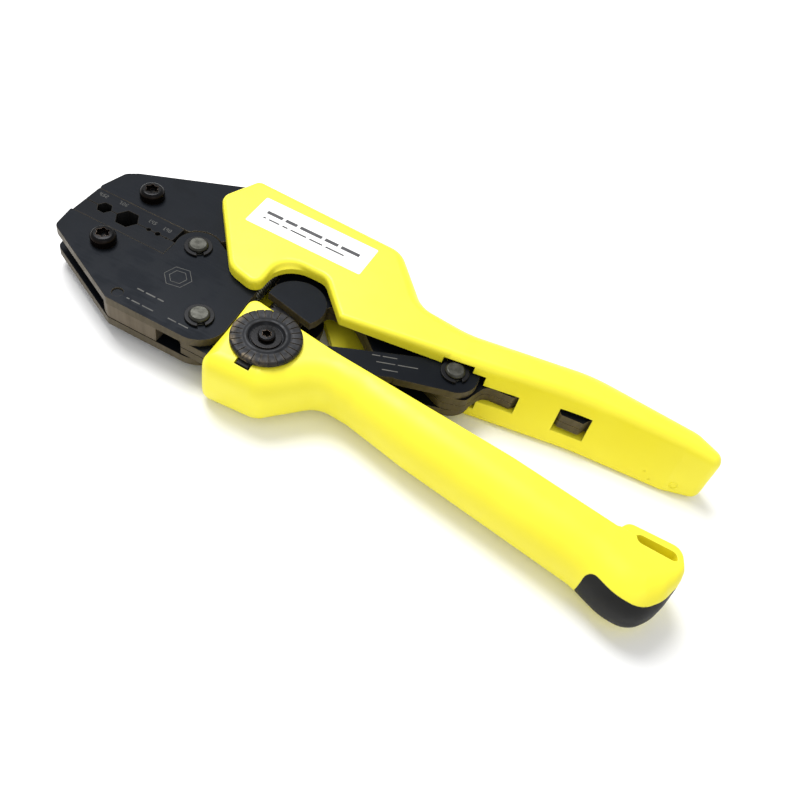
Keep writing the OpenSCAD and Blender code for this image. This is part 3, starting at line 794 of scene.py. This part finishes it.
def raised_marks():
    """Two moulding pips and a gate mark near the tail of the fixed grip."""
    grip = bpy.data.objects["fixed_grip_moulding"]
    around = 32
    spots = [((161, 4, 6.6), 0.45, 0), ((163.4, 4.4, 4.2), 0.4, 0), ((171.5, 5.2, 5.4), 1.5, 0.9)]
    for i, (spot, radius, inner) in enumerate(spots):
        _, place, normal, _ = grip.closest_point_on_mesh(at(Vector(spot[:2]), spot[2] * MM))
        crest = max(inner, 0.01) + (radius - inner) * 0.5
        profile = [(inner, -0.2), (inner, 0.02), (crest, 0.22), (radius, 0.02), (radius, -0.2)]
        bm = bmesh.new()
        turn = normal.to_track_quat("Z", "Y").to_matrix()
        rows = []
        for k in range(around):
            a = 2 * math.pi * k / around
            ring = [Vector((r * math.cos(a), r * math.sin(a), z)) for r, z in profile]
            rows.append([bm.verts.new(place + turn @ p * MM) for p in ring])
        for a, b in zip(rows, rows[1:] + rows[:1]):
            for k in range(len(profile)):
                n = (k + 1) % len(profile)
                bm.faces.new((a[k], a[n], b[n], b[k]))
        bmesh.ops.remove_doubles(bm, verts=bm.verts, dist=0.001 * MM)
        bmesh.ops.recalc_face_normals(bm, faces=bm.faces)
        mark = new_object(f"moulding_mark_{i + 1}", bm)
        smooth(mark, 60)
        dress(mark, YELLOW, "frame", "yellow_plastic")


# ---------- stage ----------

def floor():
    """Plain pale floor just under the tool."""
    bm = bmesh.new()
    size = 3.0
    level = -0.05 * MM
    square = ((-1, -1), (1, -1), (1, 1), (-1, 1))
    bm.faces.new([bm.verts.new((x * size, y * size, level)) for x, y in square])
    ground = new_object("floor", bm)
    s = Shader("floor_white")
    s.colour(s.mix(s.noise(3, 2), (0.93, 0.93, 0.93), (0.95, 0.95, 0.95)))
    s.set(Roughness=0.9)
    ground.data.materials.append(s.material)


def area_light(name, place, target, size, power):
    data = bpy.data.lights.new(name, "AREA")
    data.shape = "DISK"
    data.size = size
    data.energy = power
    light = bpy.data.objects.new(name, data)
    bpy.context.scene.collection.objects.link(light)
    light.location = place
    light.rotation_euler = (Vector(target) - Vector(place)).to_track_quat("-Z", "Y").to_euler()


def lights():
    """White surround, a soft key from behind the jaws and a weak fill over the grips."""
    world = bpy.data.worlds.new("soft_sky")
    world.use_nodes = True
    sky = world.node_tree.nodes["Background"]
    sky.inputs["Color"].default_value = (1, 1, 1, 1)
    sky.inputs["Strength"].default_value = 0.74
    bpy.context.scene.world = world
    area_light("key", (-0.35, 0.25, 0.75), (0, 0, 0), 0.5, 7.5)
    area_light("fill", (0.45, -0.5, 0.5), (0, 0, 0), 0.6, 0.6)


def camera():
    """Held low over the near side of the grips, turned and rolled as the photograph was taken."""
    data = bpy.data.cameras.new("camera")
    data.sensor_width = 36
    data.lens = 38.91
    data.clip_start = 0.01
    cam = bpy.data.objects.new("camera", data)
    bpy.context.scene.collection.objects.link(cam)
    turned, down, rolled = 13.26, 50.73, 16.42
    heading = Matrix.Rotation(math.radians(turned), 4, "Z")
    pitch = Matrix.Rotation(math.radians(90 - down), 4, "X")
    roll = Matrix.Rotation(math.radians(rolled), 4, "Z")
    place = Vector((PIVOT.x + 122.0 * MM, PIVOT.y - 179.2 * MM, 217.8 * MM))
    cam.matrix_world = Matrix.Translation(place) @ heading @ pitch @ roll
    bpy.context.scene.camera = cam


camera()
finish_cad_nodes()
fixed_grip()
moving_grip()
adjuster_wheel()
opening_spring()
pawl_spring()
label()
printed_marks()
raised_marks()
floor()
lights()
bpy.context.scene.view_settings.view_transform = "Standard"
